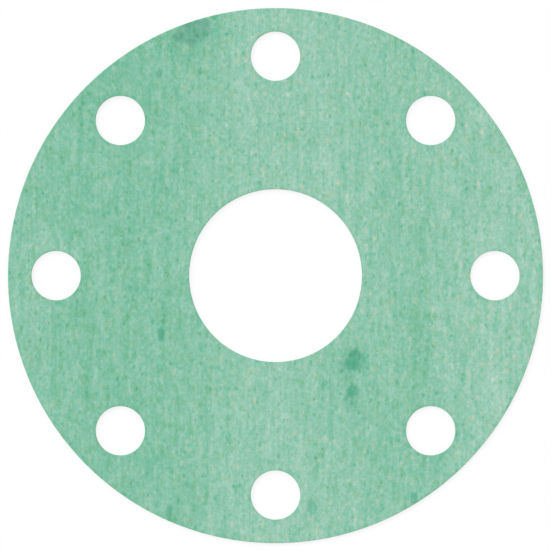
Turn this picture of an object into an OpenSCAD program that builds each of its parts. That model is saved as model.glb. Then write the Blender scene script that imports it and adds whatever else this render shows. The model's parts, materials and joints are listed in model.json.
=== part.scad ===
// Full-face flat gasket for a bolted pipe flange, die-cut in one piece from compressed fibre sheet.
// It lies on its lower sealing face. The origin is the middle of that face, and +Z points through the sheet.

/* [Bolt holes] */
// Number of bolt holes
bolt_count = 8; // [4:1:12]
// Diameter of the bolt circle
bolt_circle_d = 160; // [140:1:200]
// Diameter of each bolt hole
bolt_hole_d = 18; // [12:0.5:22]
// Angle of the first bolt hole from +X, in degrees
first_bolt_angle = 0; // [0:0.5:45]

/* [Sheet] */
// Width of sheet left between a bolt hole and the outer rim
rim_land = 8.5; // [2:0.5:30]
// Diameter of the flow bore
bore_d = 63; // [20:1:110]
// Thickness of the sheet
sheet_t = 2; // [0.8:0.1:6]

/* [Cut edge] */
// Radius to which the cutting die rolls over the upper edge of every cut
edge_roll_r = 0.3; // [0.05:0.05:0.6]

/* [Hidden] */
$fn = 180;

sheet_colour = "#8DC5AB";
// Outside diameter: a full-face gasket covers the bolt holes and a land beyond them
outer_d = bolt_circle_d + bolt_hole_d + 2 * rim_land;
// How far a cut reaches past the surfaces that it opens
overcut = 1;

// Section of what a rolled edge takes off a square corner, with the roll's centre at the origin
module corner_waste() {
    difference() {
        square(edge_roll_r + overcut);
        circle(edge_roll_r);
    }
}

// Round blank, with its upper rim rolled over
module blank() {
    rotate_extrude()
        difference() {
            square([outer_d / 2, sheet_t]);
            translate([outer_d / 2 - edge_roll_r, sheet_t - edge_roll_r])
                corner_waste();
        }
}

// Cutter for a punched hole: a straight wall that flares out to the rolled upper edge
module punched_hole(d) {
    rotate_extrude() {
        translate([0, -overcut])
            square([d / 2, sheet_t + 2 * overcut]);
        translate([d / 2 + edge_roll_r, sheet_t - edge_roll_r])
            mirror([1, 0])
                corner_waste();
    }
}

// Places its children on every bolt position
module at_bolts() {
    for (i = [0 : bolt_count - 1])
        rotate(first_bolt_angle + i * 360 / bolt_count)
            translate([bolt_circle_d / 2, 0])
                children();
}

// The whole gasket: one sheet with a flow bore and a ring of bolt holes
module gasket() {
    color(sheet_colour)
        difference() {
            blank();
            punched_hole(bore_d);
            at_bolts() punched_hole(bolt_hole_d);
        }
}

gasket();
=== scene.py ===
"""A flat gasket, die-cut from green compressed fibre sheet, seen from straight above on a white table."""

import json
import math
from collections import namedtuple

import bpy
from mathutils import Color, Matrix, Vector, geometry, noise


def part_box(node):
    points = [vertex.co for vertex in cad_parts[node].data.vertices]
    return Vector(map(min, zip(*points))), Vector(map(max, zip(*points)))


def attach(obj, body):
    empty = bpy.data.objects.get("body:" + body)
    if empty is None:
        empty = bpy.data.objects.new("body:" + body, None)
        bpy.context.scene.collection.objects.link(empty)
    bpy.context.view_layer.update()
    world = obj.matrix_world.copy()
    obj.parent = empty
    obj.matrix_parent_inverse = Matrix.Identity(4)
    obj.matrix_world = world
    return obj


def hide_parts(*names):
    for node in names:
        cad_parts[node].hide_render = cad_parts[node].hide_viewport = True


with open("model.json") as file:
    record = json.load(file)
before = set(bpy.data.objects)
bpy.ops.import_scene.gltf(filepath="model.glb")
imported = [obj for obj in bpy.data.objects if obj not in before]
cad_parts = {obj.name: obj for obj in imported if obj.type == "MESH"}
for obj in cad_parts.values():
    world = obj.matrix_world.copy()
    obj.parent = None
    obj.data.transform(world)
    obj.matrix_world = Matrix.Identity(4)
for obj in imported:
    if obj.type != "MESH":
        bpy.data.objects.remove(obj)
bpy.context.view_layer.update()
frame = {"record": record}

# Lengths are in millimetres throughout, and become metres where they go into Blender.
MM = 0.001

# Sizes of the gasket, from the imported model. The bore's straight wall ends where its rolled edge begins.
low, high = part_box("gasket")
dims = {m["name"]: m["dims"] for m in frame["record"]["mounts"]}
SHEET_T = high.z / MM
RIM_R = high.x / MM
BORE_R = dims["flow_bore"]["r_mm"]
HOLE_R = dims["bolt_holes"]["hole_r_mm"]
PITCH_R = dims["bolt_holes"]["pcd_mm"] / 2
HOLE_COUNT = dims["bolt_holes"]["count"]
ROLL_R = SHEET_T - dims["flow_bore"]["length_mm"]


# The sheet's mesh

UPPER_GRID = 0.95            # spacing of the points inside the upper face
LOWER_GRID = 1.8             # and inside the lower face
RIM_SEGMENTS = 720
BORE_SEGMENTS = 240
HOLE_SEGMENTS = 72
LAND = 1.5                   # ring of even mesh along each cut edge
BREAK_R = 0.08               # worn lower corner of a cut
ROLL_STEPS = 5
BREAK_STEPS = 2
WALL_STEPS = 5
RAGGED = 0.035               # how far torn fibres draw back on a cut wall
RAGGED_SIZE = (1.1, 1.1, 0.6)
RELIEF = 0.03                # depth of the calender's grain on a face
RELIEF_SIZE = (2.2, 4.0)
INSIDE_WITH_HOLES = 2        # the triangulation keeps what lies inside the outer ring and outside the holes
SAME_POINT = 1e-6            # points this near each other count as one
FROM_CUT = "edge_mm"         # attribute that tells the material how far a vertex is from the nearest cut

# The UV map for baking the material: both faces as discs, the lower one seen from below,
# and the cut walls as a tape laid in rows
BAKE_MAP = "OFBake"
Disc = namedtuple("Disc", "u v r side")
UPPER_DISC = Disc(0.395, 0.605, 0.385, 1)
LOWER_DISC = Disc(0.81, 0.19, 0.18, -1)
TAPE_LEFT, TAPE_RIGHT = 0.01, 0.61
TAPE_LOW, TAPE_HIGH = 0.01, 0.21
RIM_ROWS, BORE_ROWS, HOLE_ROWS = 4, 1, 0.5
ROW_FILL = 0.85              # share of a row's height that the tape takes

# A circular cut: its centre and radius, the way from it into the sheet, the segments round it,
# and its place on the tape, as the row where it starts and the number of rows that it takes
Cut = namedtuple("Cut", "x y r inward segments start rows")


def all_cuts():
    cuts = [Cut(0, 0, RIM_R, -1, RIM_SEGMENTS, 0, RIM_ROWS),
            Cut(0, 0, BORE_R, 1, BORE_SEGMENTS, RIM_ROWS, BORE_ROWS)]
    for i in range(HOLE_COUNT):
        turn = math.tau * i / HOLE_COUNT
        start = RIM_ROWS + BORE_ROWS + HOLE_ROWS * i
        x, y = PITCH_R * math.cos(turn), PITCH_R * math.sin(turn)
        cuts.append(Cut(x, y, HOLE_R, 1, HOLE_SEGMENTS, start, HOLE_ROWS))
    return cuts


def inset(cut, x, y):
    """How far a point lies inside the sheet, measured from one cut."""
    return cut.inward * (math.hypot(x - cut.x, y - cut.y) - cut.r)


def cut_profile():
    """(inset, height) of the mesh rows across a cut, from the upper face over the roll and down the wall."""
    rows = [(LAND, SHEET_T), ((LAND + ROLL_R) / 2, SHEET_T)]
    for i in range(ROLL_STEPS + 1):
        turn = math.pi / 2 * i / ROLL_STEPS
        rows.append((ROLL_R * (1 - math.sin(turn)), SHEET_T - ROLL_R * (1 - math.cos(turn))))
    wall_top = SHEET_T - ROLL_R
    for i in range(1, WALL_STEPS):
        rows.append((0, wall_top + (BREAK_R - wall_top) * i / WALL_STEPS))
    for i in range(BREAK_STEPS + 1):
        turn = math.pi / 2 * i / BREAK_STEPS
        rows.append((BREAK_R * (1 - math.cos(turn)), BREAK_R * (1 - math.sin(turn))))
    return rows + [((LAND + BREAK_R) / 2, 0), (LAND, 0)]


def shares_down(profile):
    """How far down the cut each row of the profile lies, from 0 to 1. Level stretches add nothing."""
    fallen = [0]
    for above, below in zip(profile, profile[1:]):
        level = above[1] == below[1]
        fallen.append(fallen[-1] + (0 if level else math.dist(above, below)))
    return [f / fallen[-1] for f in fallen]


def share_between(value, start, end):
    """0 up to the start, 1 from the end on, and even between."""
    return min(1, max(0, (value - start) / (end - start)))


def raggedness(x, y, z):
    """How far torn fibres draw a cut wall back into the sheet: not at all on the rolled upper edge."""
    wall_top = SHEET_T - ROLL_R
    share = share_between(z, wall_top, wall_top - ROLL_R)
    return share * RAGGED * abs(noise.noise([c / size for c, size in zip((x, y, z), RAGGED_SIZE)]))


def relief(x, y, z, from_cut):
    """Height of a face with the calender's grain in it, which fades out towards a cut."""
    share = share_between(from_cut, ROLL_R, LAND)
    depth = share * RELIEF * (1 - noise.noise((x / RELIEF_SIZE[0], y / RELIEF_SIZE[1], z))) / 2
    return z - depth if z > SHEET_T / 2 else z + depth


def grid_points(cuts, spacing):
    """Points of a triangular lattice, clear of all lands, each with its distance from the nearest cut."""
    row_step = spacing * math.sqrt(3) / 2
    rows, across = int(RIM_R / row_step), int(RIM_R / spacing)
    for j in range(-rows, rows + 1):
        for i in range(-across, across + 1):
            x, y = spacing * (i + j % 2 / 2), row_step * j
            from_cut = min(inset(c, x, y) for c in cuts)
            if from_cut > LAND + spacing / 2:
                yield x, y, from_cut


class Sheet:
    """The sheet's mesh: vertices with their distance from the nearest cut, and faces with their UV places."""

    def __init__(self):
        self.verts, self.from_cut = [], []
        self.faces, self.uv = [], []
        self.cuts = all_cuts()
        self.tape_rows = max(c.start + c.rows for c in self.cuts)
        self.profile = cut_profile()
        self.down = shares_down(self.profile)
        edges = [self.cut_edge(c) for c in self.cuts]
        self.face([e[0] for e in edges], SHEET_T, UPPER_GRID)
        self.face([e[-1] for e in edges], 0, LOWER_GRID)

    def point(self, x, y, z, from_cut):
        self.verts.append((x, y, z))
        self.from_cut.append(from_cut)
        return len(self.verts) - 1

    def polygon(self, corners, uv, turned):
        order = -1 if turned else 1
        self.faces.append(corners[::order])
        self.uv += uv[::order]

    def on_disc(self, corner):
        """UV place of a vertex on the upper or the lower face."""
        x, y, z = self.verts[corner]
        disc = UPPER_DISC if z > SHEET_T / 2 else LOWER_DISC
        return disc.u + disc.side * disc.r * x / RIM_R, disc.v + disc.r * y / RIM_R

    def on_tape(self, along, row, down):
        """UV place on the tape: along it in rows, and down from a wall's top in shares of its height."""
        row_height = (TAPE_HIGH - TAPE_LOW) / self.tape_rows
        u = TAPE_LEFT + (TAPE_RIGHT - TAPE_LEFT) * (along - row)
        v = TAPE_LOW + row_height * (row + ROW_FILL * (1 - down))
        return u, v

    def ring(self, cut, from_cut, z):
        """One row of vertices round a cut."""
        ring = []
        for i in range(cut.segments):
            turn = math.tau * i / cut.segments
            out_x, out_y = math.cos(turn), math.sin(turn)
            r = cut.r + cut.inward * from_cut
            r += cut.inward * raggedness(cut.x + r * out_x, cut.y + r * out_y, z)
            x, y = cut.x + r * out_x, cut.y + r * out_y
            ring.append(self.point(x, y, relief(x, y, z, from_cut), from_cut))
        return ring

    def cut_edge(self, cut):
        """Meshes one cut from the upper face to the lower one, and returns its rings of vertices."""
        rings = [self.ring(cut, from_cut, z) for from_cut, z in self.profile]
        for upper, lower, above, below in zip(rings, rings[1:], self.down, self.down[1:]):
            for i in range(cut.segments):
                j = (i + 1) % cut.segments
                corners = [upper[i], upper[j], lower[j], lower[i]]
                if above == below:
                    uv = [self.on_disc(c) for c in corners]
                else:
                    start, end = (cut.start + cut.rows * n / cut.segments for n in (i, i + 1))
                    row = int((start + end) / 2)
                    spots = ((start, above), (end, above), (end, below), (start, below))
                    uv = [self.on_tape(along, row, down) for along, down in spots]
                self.polygon(corners, uv, cut.inward < 0)
        return rings

    def face(self, rings, z, spacing):
        """Fills the flat inside of one face, between the rings of the cuts."""
        corners, outlines = [], []
        for ring in rings:
            outlines.append(list(range(len(corners), len(corners) + len(ring))))
            corners += ring
        for x, y, from_cut in grid_points(self.cuts, spacing):
            corners.append(self.point(x, y, relief(x, y, z, from_cut), from_cut))
        flat = [Vector(self.verts[i][:2]) for i in corners]
        filled = geometry.delaunay_2d_cdt(flat, [], outlines, INSIDE_WITH_HOLES, SAME_POINT)
        _, _, triangles, origins, _, _ = filled
        for indices in triangles:
            triangle = [corners[origins[i][0]] for i in indices]
            self.polygon(triangle, [self.on_disc(c) for c in triangle], z < SHEET_T / 2)

    def mesh(self, name):
        made = bpy.data.meshes.new(name)
        made.from_pydata([[c * MM for c in v] for v in self.verts], [], self.faces)
        made.attributes.new(FROM_CUT, "FLOAT", "POINT").data.foreach_set("value", self.from_cut)
        made.uv_layers.new(name=BAKE_MAP).uv.foreach_set("vector", [c for place in self.uv for c in place])
        made.shade_smooth()
        return made


sheet = bpy.data.objects.new("gasket_sheet", Sheet().mesh("gasket_sheet"))
bpy.context.scene.collection.objects.link(sheet)
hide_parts("gasket")
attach(sheet, "root")


# Its material: a tone, which sets the green, and tints that multiply it

# The sheet's colour in 8-bit sRGB at tone 0, what one tone adds to it, and the most tones either way
GREEN = (136.5, 195.2, 168.7)
TONE = (20.5, 8.6, 13.5)
MOST_TONE = 3
FULL_LEVEL = 255             # of an 8-bit colour

# Broad tone of the sheet from its left to its right, as (x, tone), and the most that its curve has room for
BANDS = ((-97, -0.2), (-80, -0.48), (-45, -0.48), (-28, -0.2), (-10, 0.24), (20, 0.27),
         (38, 0.12), (52, -0.02), (64, 0.25), (76, 0.42), (97, 0.47))
MOST_BAND = 1

# A patch of the upper face, as an ellipse: its centre, half breadth, half length, turn in degrees,
# strength, and the softness of its border as a share of its size
Patch = namedtuple("Patch", "x y breadth length turn strength soft")
# Darker and paler patches and streaks, with their strength in tones
PATCHES = (
    Patch(30, -50, 28, 38, 0, -0.4, 1.0),
    Patch(24, -36, 10, 10, 0, -0.25, 1.0),
    Patch(-86, 4, 14, 22, 0, 0.4, 1.0),
    Patch(82, 36, 16, 18, 0, -0.3, 1.0),
    Patch(58, -62, 16, 22, 0, -0.3, 1.0),
    Patch(-38, -20, 10, 10, 0, -0.25, 1.0),
    Patch(52.5, 13, 2.4, 11, 0, -0.5, 0.8),
    Patch(52.5, -23, 4.5, 20, 0, -0.5, 0.8),
    Patch(-27, 86, 14, 9, 19, -0.65, 0.9),
)
# Oil stains: two drops below the bore, the trail between and below them, one on the rim, and a few specks
STAINS = (
    Patch(28.9, -29.2, 2.4, 2.5, 0, 0.8, 0.5),
    Patch(27.9, -32.0, 3.3, 2.6, 0, 0.8, 0.5),
    Patch(28.0, -31.2, 4.9, 5.6, 0, 0.4, 0.6),
    Patch(28.6, -41.8, 2.4, 2.3, 0, 0.8, 0.5),
    Patch(26.5, -43.9, 1.2, 2.2, -45, 0.5, 0.5),
    Patch(27.6, -45.0, 3.2, 6.0, 0, 0.35, 0.6),
    Patch(25.0, -37.0, 1.8, 4.5, 0, 0.3, 0.7),
    Patch(-35.6, 87.0, 2.4, 2.4, 0, 0.4, 0.5),
    Patch(-41.7, -21.3, 1.35, 2.9, 0, 0.95, 0.5),
    Patch(-38.8, -86.0, 1.3, 2.7, 0, 0.7, 0.5),
    Patch(12.8, -84.0, 2.0, 3.2, 0, 0.5, 0.6),
    Patch(50.4, -81.0, 1.4, 2.4, 0, 0.8, 0.5),
    Patch(-42.4, 73.8, 1.2, 2.2, 0, 0.7, 0.5),
    Patch(-69.7, 64.0, 1.3, 2.4, 0, 0.5, 0.5),
)
STAIN_TINT = (0.40, 0.74, 0.66, 1)
# Grey soil on the rim
SOIL = (
    Patch(-30.0, 88.8, 7.6, 4.2, 19, 0.7, 0.3),
    Patch(-30.3, 84.8, 2.0, 1.6, 0, 0.5, 0.4),
    Patch(-26.5, 92.3, 2.6, 1.6, 19, 0.3, 0.5),
)
SOIL_TINT = (0.64, 0.75, 0.78, 1)
ENDLESS = 1e6                # size of a patch through the sheet

# Fibres that lie one way: turn from Y in degrees, breadth, length, and weight in the sum
Fibres = namedtuple("Fibres", "turn breadth length weight")
# Mottle of short matted fibres
MOTTLE = (
    Fibres(-8, 1.1, 2.1, 1.0),
    Fibres(6, 0.9, 1.8, 1.0),
    Fibres(38, 1.3, 1.9, 0.8),
    Fibres(-44, 0.8, 1.4, 0.9),
    Fibres(80, 1.2, 1.8, 0.9),
)
MOTTLE_SHIFT = 9.7           # for each degree of turn, so that the noises aren't alike in the middle
# Streaks along the calender's run
STREAKS = (
    Fibres(0, 1.4, 30, 0.65),
    Fibres(0, 2.4, 9, 0.8),
)
# Single fibres on the surface, pale and dark
STRANDS = (
    Fibres(-22, 0.22, 3.6, 0.9),
    Fibres(11, 0.2, 4.2, 0.9),
    Fibres(43, 0.22, 3.0, 0.8),
    Fibres(-66, 0.2, 2.8, 0.6),
    Fibres(-9, 0.22, 3.4, -0.8),
    Fibres(30, 0.2, 3.0, -0.7),
)
STRAND_SHIFT = 7.3
STRAND_EDGE = (0.1, 0.2)     # noise where a fibre begins, and where it is full
GRIT_SIZE = (0.45, 0.5, 0.45)
GRIT_TURN = 33
CLOUD_SIZE = (9, 26, 9)
LAYER_SIZE = (6, 6, 0.3)     # of the sheet's layers, which a cut wall shows

# How much each part of the grain adds to the tone, the roughness and the bump
Shows = namedtuple("Shows", "tone rough bump")
MOTTLE_SHOWS = Shows(1.7, 0.1, 0.6)
STREAK_SHOWS = Shows(2.4, 0, 0.3)
STRAND_SHOWS = Shows(0.55, 0.05, 0.15)
GRIT_SHOWS = Shows(1.3, 0.25, 0.5)
ROUGHNESS = 0.8
BUMP_DEPTH = 0.05
# Tone of the clouds, the dark flecks, the darker band along each cut, and the cut wall and its layers
CLOUD_TONE = 0.8
DARK_TONE = -1.3
CUT_DARKENING_TONE = -0.3
CUT_DARKENING_REACH = 1.9              # from a cut
WALL_TONE = 0.3
LAYER_TONE = 2.0
# The surface is cut wall where its normal's Z is below the first value, and face above the second.
WALL_Z, FACE_Z = 0.3, 0.7

# Flecks of other fibres, one to a cell: the cell's breadth, length and turn, the shift that keeps the kinds
# apart, the largest radius in cells, the share of cells with a fleck, and what one broad tone adds to it
Flecks = namedtuple("Flecks", "breadth length turn shift radius share by_tone")
BEIGE = Flecks(2.8, 4.0, 4, 0, 0.44, 0.17, 0.35)
OLIVE = Flecks(2.6, 4.8, -5, 31, 0.52, 0.3, -0.4)
DARK = Flecks(3.4, 5.0, 2, 57, 0.25, 0.45, 0)
BEIGE_TINT = (1.36, 1.03, 1.04, 1)
OLIVE_TINT = (0.86, 0.935, 0.83, 1)
FLECK_LEAST = 0.4            # smallest fleck, as a share of the largest
FLECK_CORE = 0.4             # share of a fleck's radius inside its soft border

# Cooler and warmer spots
COOL_TINT = (0.94, 1.01, 1.03, 1)
WARM_TINT = (1.06, 0.985, 0.96, 1)
WARMTH_SIZE = (1.2, 2.4, 1.2)
WARMTH_TURN = 15
WARMTH_SHIFT = 50
WARMTH_REACH = 1 / 6         # noise at which a tint is full

# Noise that moves other features about: the size of its waves, and the range of the moves along an axis
Waver = namedtuple("Waver", "size amount")
BAND_WAVER = Waver(60, 14)
PATCH_WAVER = Waver(1.8, 1.3)
FLECK_WAVER = Waver(0.6, 1.1)
STRAND_WAVER = Waver(2.5, 1.6)

# What Blender's nodes work with: the middle of a Noise Texture's values, and a Mix node's sockets for colours
NOISE_MIDDLE = 0.5
MIX_A, MIX_B, MIX_RESULT = 6, 7, 2


def linear(rgb):
    """An 8-bit sRGB colour as the linear colour that a shader takes."""
    return [*Color([c / FULL_LEVEL for c in rgb]).from_srgb_to_scene_linear(), 1.0]


def unit(value, reach):
    """A number from -reach to reach as one from 0 to 1."""
    return value * 0.5 / reach + 0.5


class Graph:
    """Adds nodes to a tree and wires them up. An input is a socket or a plain value."""

    def __init__(self, tree):
        self.tree = tree

    def add(self, kind, inputs, **settings):
        node = self.tree.nodes.new(kind)
        for name, value in settings.items():
            setattr(node, name, value)
        for key, value in inputs.items():
            if isinstance(value, bpy.types.NodeSocket):
                self.tree.links.new(value, node.inputs[key])
            else:
                node.inputs[key].default_value = value
        return node

    def math(self, operation, a, b=0.0, c=0.0):
        return self.add("ShaderNodeMath", {0: a, 1: b, 2: c}, operation=operation).outputs[0]

    def vector(self, operation, a, b, c=(0, 0, 0)):
        return self.add("ShaderNodeVectorMath", {0: a, 1: b, 2: c}, operation=operation).outputs[0]

    def mix(self, share, a, b, blend="MIX"):
        node = self.add("ShaderNodeMix", {"Factor": share, MIX_A: a, MIX_B: b},
                        data_type="RGBA", blend_type=blend)
        return node.outputs[MIX_RESULT]

    def weigh(self, *parts):
        """Sum of values, each times its weight."""
        total = 0.0
        for value, weight in parts:
            total = self.math("MULTIPLY_ADD", value, weight, total)
        return total

    def unit(self, value, reach):
        """A value from -reach to reach as one from 0 to 1."""
        return self.math("MULTIPLY_ADD", value, 0.5 / reach, 0.5)

    def step(self, value, start, end):
        """0 up to the start, 1 from the end on, and smooth between; the start may be the larger."""
        node = self.add("ShaderNodeMapRange", {"Value": value, "From Min": start, "From Max": end},
                        interpolation_type="SMOOTHSTEP")
        return node.outputs[0]

    def stretched(self, place, size, turn=0.0, middle=(0, 0, 0)):
        """Coordinates in which a feature of this size, turn in degrees and middle is one unit each way."""
        node = self.add("ShaderNodeMapping", {
            "Vector": place, "Location": middle, "Rotation": (0, 0, math.radians(turn)), "Scale": size},
            vector_type="TEXTURE")
        return node.outputs[0]

    def noise_node(self, place, detail):
        return self.add("ShaderNodeTexNoise", {"Vector": place, "Scale": 1.0, "Detail": detail})

    def noise(self, place, detail):
        """Noise about 0 whose features are one unit wide."""
        return self.math("SUBTRACT", self.noise_node(place, detail).outputs["Fac"], NOISE_MIDDLE)

    def moved(self, place, waver):
        """Coordinates that noise moves about."""
        waves = self.noise_node(self.stretched(place, [waver.size] * 3), detail=2.0)
        by = self.vector("SUBTRACT", waves.outputs["Color"], [NOISE_MIDDLE] * 3)
        return self.vector("MULTIPLY_ADD", by, [waver.amount] * 3, place)

    def fibres(self, place, ways, shift, detail):
        """Noise for each way that fibres lie, with its weight."""
        for way in ways:
            size = (way.breadth, way.length, way.breadth)
            middle = (shift * way.turn, shift * way.turn, 0)
            yield self.noise(self.stretched(place, size, way.turn, middle), detail), way.weight

    def flecks(self, place, kind, broad):
        """1 inside scattered flecks and 0 outside them."""
        size, middle = (kind.breadth, kind.length, 1), (kind.shift, kind.shift, 0)
        cells = self.add("ShaderNodeTexVoronoi", {
            "Vector": self.stretched(place, size, kind.turn, middle), "Scale": 1.0}, voronoi_dimensions="2D")
        chance = self.add("ShaderNodeSeparateColor", {0: cells.outputs["Color"]})
        least = FLECK_LEAST * kind.radius
        radius = self.math("MULTIPLY_ADD", chance.outputs["Green"], kind.radius - least, least)
        near = self.step(self.math("DIVIDE", cells.outputs["Distance"], radius), 1.0, FLECK_CORE)
        share = self.math("MULTIPLY_ADD", broad, kind.by_tone, kind.share)
        return self.math("MULTIPLY", near, self.math("LESS_THAN", chance.outputs["Red"], share))

    def patches(self, place, patches):
        """Sum of the patches' strengths."""
        parts = []
        for p in patches:
            at = self.stretched(place, (p.breadth, p.length, ENDLESS), p.turn, (p.x, p.y, 0))
            off = self.add("ShaderNodeVectorMath", {0: at}, operation="LENGTH").outputs["Value"]
            parts.append((self.step(off, 1 + p.soft / 2, 1 - p.soft), p.strength))
        return self.weigh(*parts)


def bands_of_tone(g, place):
    """Broad tone across the sheet, with wavering borders."""
    x = g.add("ShaderNodeSeparateXYZ", {0: g.moved(place, BAND_WAVER)}).outputs["X"]
    across = g.add("ShaderNodeFloatCurve", {"Value": g.unit(x, RIM_R)})
    points = across.mapping.curves[0].points
    spots = [(unit(at, RIM_R), unit(tone, MOST_BAND)) for at, tone in BANDS]
    for point, spot in zip(points, spots):
        point.location = spot
    for spot in spots[len(points):]:
        points.new(*spot)
    across.mapping.update()
    return g.math("MULTIPLY_ADD", across.outputs[0], 2 * MOST_BAND, -MOST_BAND)


def tone_colours(g, tone):
    """The sheet's colour by its tone."""
    ramp = g.add("ShaderNodeValToRGB", {0: g.unit(tone, MOST_TONE)})
    elements = ramp.color_ramp.elements
    for t in range(1 - MOST_TONE, MOST_TONE):
        elements.new(unit(t, MOST_TONE))
    for element, t in zip(elements, range(-MOST_TONE, MOST_TONE + 1)):
        element.color = linear([c + t * d for c, d in zip(GREEN, TONE)])
    return ramp.outputs[0]


def fibre_grain(g, place):
    """The matted fibres, streaks, single fibres and grit, each with how much it shows."""
    mottle = g.weigh(*g.fibres(place, MOTTLE, MOTTLE_SHIFT, detail=1.0))
    streak = g.weigh(*g.fibres(place, STREAKS, 0, detail=1.0))
    bent = g.moved(place, STRAND_WAVER)
    strand = g.weigh(*((g.step(value, *STRAND_EDGE), weight)
                       for value, weight in g.fibres(bent, STRANDS, STRAND_SHIFT, detail=0.0)))
    grit = g.noise(g.stretched(place, GRIT_SIZE, GRIT_TURN), detail=1.0)
    return (mottle, MOTTLE_SHOWS), (streak, STREAK_SHOWS), (strand, STRAND_SHOWS), (grit, GRIT_SHOWS)


def fibre_sheet():
    """The gasket's material."""
    material = bpy.data.materials.new("fibre_sheet")
    material.use_nodes = True
    tree = material.node_tree
    g = Graph(tree)
    place = g.vector("MULTIPLY", g.add("ShaderNodeTexCoord", {}).outputs["Object"], [1 / MM] * 3)
    normal = g.add("ShaderNodeNewGeometry", {}).outputs["Normal"]
    normal_z = g.add("ShaderNodeSeparateXYZ", {0: normal}).outputs["Z"]
    upper = g.step(normal_z, WALL_Z, FACE_Z)
    wall = g.step(g.math("ABSOLUTE", normal_z), FACE_Z, WALL_Z)
    from_cut = g.add("ShaderNodeAttribute", {}, attribute_name=FROM_CUT).outputs["Fac"]

    wavering = g.moved(place, PATCH_WAVER)
    patches, stains, soil = (g.math("MULTIPLY", g.patches(wavering, each), upper)
                             for each in (PATCHES, STAINS, SOIL))
    cloud = g.noise(g.stretched(place, CLOUD_SIZE), detail=2.0)
    broad = g.weigh((bands_of_tone(g, place), 1.0), (patches, 1.0), (cloud, CLOUD_TONE))

    grain = fibre_grain(g, place)
    clumped = g.moved(place, FLECK_WAVER)
    beige, olive, dark = (g.flecks(clumped, kind, broad) for kind in (BEIGE, OLIVE, DARK))
    # The sheet is drawn darker in a band along each cut, fading out further into the sheet.
    cut_darkening = g.step(from_cut, CUT_DARKENING_REACH, ROLL_R)
    layers = g.math("MULTIPLY", g.noise(g.stretched(place, LAYER_SIZE), detail=1.0), wall)
    tone = g.weigh((broad, 1.0), *((value, shows.tone) for value, shows in grain),
                   (dark, DARK_TONE), (cut_darkening, CUT_DARKENING_TONE), (wall, WALL_TONE), (layers, LAYER_TONE))

    spots = g.stretched(place, WARMTH_SIZE, WARMTH_TURN, (WARMTH_SHIFT, WARMTH_SHIFT, 0))
    warmth = g.unit(g.noise(spots, detail=1.0), WARMTH_REACH)
    covers = ((1.0, g.mix(warmth, COOL_TINT, WARM_TINT)), (beige, BEIGE_TINT), (olive, OLIVE_TINT),
              (stains, STAIN_TINT), (soil, SOIL_TINT))
    colour = tone_colours(g, tone)
    for cover, tint in covers:
        colour = g.mix(cover, colour, tint, "MULTIPLY")

    rough = g.weigh(*((value, shows.rough) for value, shows in grain))
    height = g.weigh(*((value, shows.bump) for value, shows in grain))
    bump = g.add("ShaderNodeBump", {"Height": height, "Distance": BUMP_DEPTH * MM})
    shader = tree.nodes["Principled BSDF"]
    tree.links.new(colour, shader.inputs["Base Color"])
    tree.links.new(g.math("ADD", rough, ROUGHNESS), shader.inputs["Roughness"])
    tree.links.new(bump.outputs[0], shader.inputs["Normal"])
    return material


sheet.data.materials.append(fibre_sheet())


# Table, light and camera

WHITE = (1, 1, 1, 1)
WORLD_LEVEL = 0.6            # of the light that makes a colour render as it is written
KEY_LEVEL = 0.4
KEY_FROM = (-0.35, 0.42, 0.9)
KEY_SPREAD = 40              # degrees that the key light spans in the sky
TABLE_SIZE = 12000
TABLE_GAP = 0.02             # keeps the table clear of the lower face
TABLE_SHADE = 0.2            # share of the table's white that takes shadows
LENS = 300
SENSOR = 36
# The photograph's frame, and the rim's radius and centre in it, in its pixels
PHOTO_PX = 550
PHOTO_RIM_R = 267.6
PHOTO_CENTRE = (275.5, 275.6)


def background_rays(g):
    """1 for a ray that shows the background straight, in a reflection or through glass."""
    path = g.add("ShaderNodeLightPath", {}).outputs
    seen = g.math("MAXIMUM", path["Is Camera Ray"], path["Is Glossy Ray"])
    return g.math("MAXIMUM", seen, path["Is Transmission Ray"])


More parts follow.
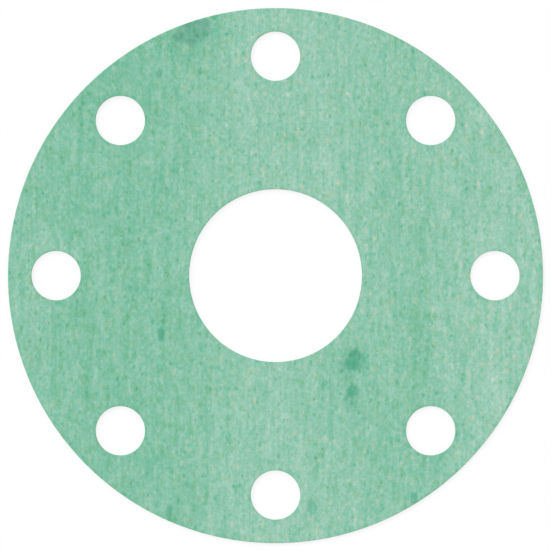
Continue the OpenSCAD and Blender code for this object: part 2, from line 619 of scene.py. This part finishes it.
def white_table():
    """A white table under the gasket, which shows its shadow faintly."""
    material = bpy.data.materials.new("table")
    material.use_nodes = True
    tree = material.node_tree
    tree.nodes.remove(tree.nodes["Principled BSDF"])
    g = Graph(tree)
    lit = g.add("ShaderNodeBsdfDiffuse", {"Color": WHITE})
    glow = g.add("ShaderNodeEmission", {"Color": WHITE, "Strength": 1.0})
    share = g.math("MULTIPLY", background_rays(g), 1 - TABLE_SHADE)
    both = g.add("ShaderNodeMixShader", {0: share, 1: lit.outputs[0], 2: glow.outputs[0]})
    tree.links.new(both.outputs[0], tree.nodes["Material Output"].inputs["Surface"])
    half = TABLE_SIZE / 2 * MM
    z = low.z - TABLE_GAP * MM
    corners = [(-half, -half, z), (half, -half, z), (half, half, z), (-half, half, z)]
    mesh = bpy.data.meshes.new("table")
    mesh.from_pydata(corners, [], [range(len(corners))])
    mesh.materials.append(material)
    table = bpy.data.objects.new("table", mesh)
    bpy.context.scene.collection.objects.link(table)


def white_world():
    """Even light from all round, and a white background."""
    world = bpy.data.worlds.new("studio")
    world.use_nodes = True
    g = Graph(world.node_tree)
    strength = g.math("MULTIPLY_ADD", background_rays(g), 1 - WORLD_LEVEL, WORLD_LEVEL)
    background = world.node_tree.nodes["Background"]
    background.inputs["Color"].default_value = WHITE
    world.node_tree.links.new(strength, background.inputs["Strength"])
    bpy.context.scene.world = world


def key_light():
    """A broad soft light from the upper left, whose light on a level surface is its share of the whole."""
    lamp = bpy.data.lights.new("key", "SUN")
    toward = Vector(KEY_FROM).normalized()
    lamp.angle = math.radians(KEY_SPREAD)
    lamp.energy = KEY_LEVEL * math.pi / toward.z
    key = bpy.data.objects.new("key", lamp)
    key.rotation_euler = (-toward).to_track_quat("-Z", "Y").to_euler()
    bpy.context.scene.collection.objects.link(key)


def camera():
    """A long lens straight above, which puts the rim where the photograph has it."""
    px = RIM_R / PHOTO_RIM_R
    middle = PHOTO_PX / 2
    right = (middle - PHOTO_CENTRE[0]) * px
    up = (PHOTO_CENTRE[1] - middle) * px
    rise = PHOTO_PX * px * LENS / SENSOR
    data = bpy.data.cameras.new("camera")
    data.lens = LENS
    data.sensor_width = SENSOR
    view = bpy.data.objects.new("camera", data)
    view.location = Vector((right, up, SHEET_T + rise)) * MM
    bpy.context.scene.collection.objects.link(view)
    bpy.context.scene.camera = view


white_table()
white_world()
key_light()
camera()
bpy.context.scene.view_settings.view_transform = "Standard"
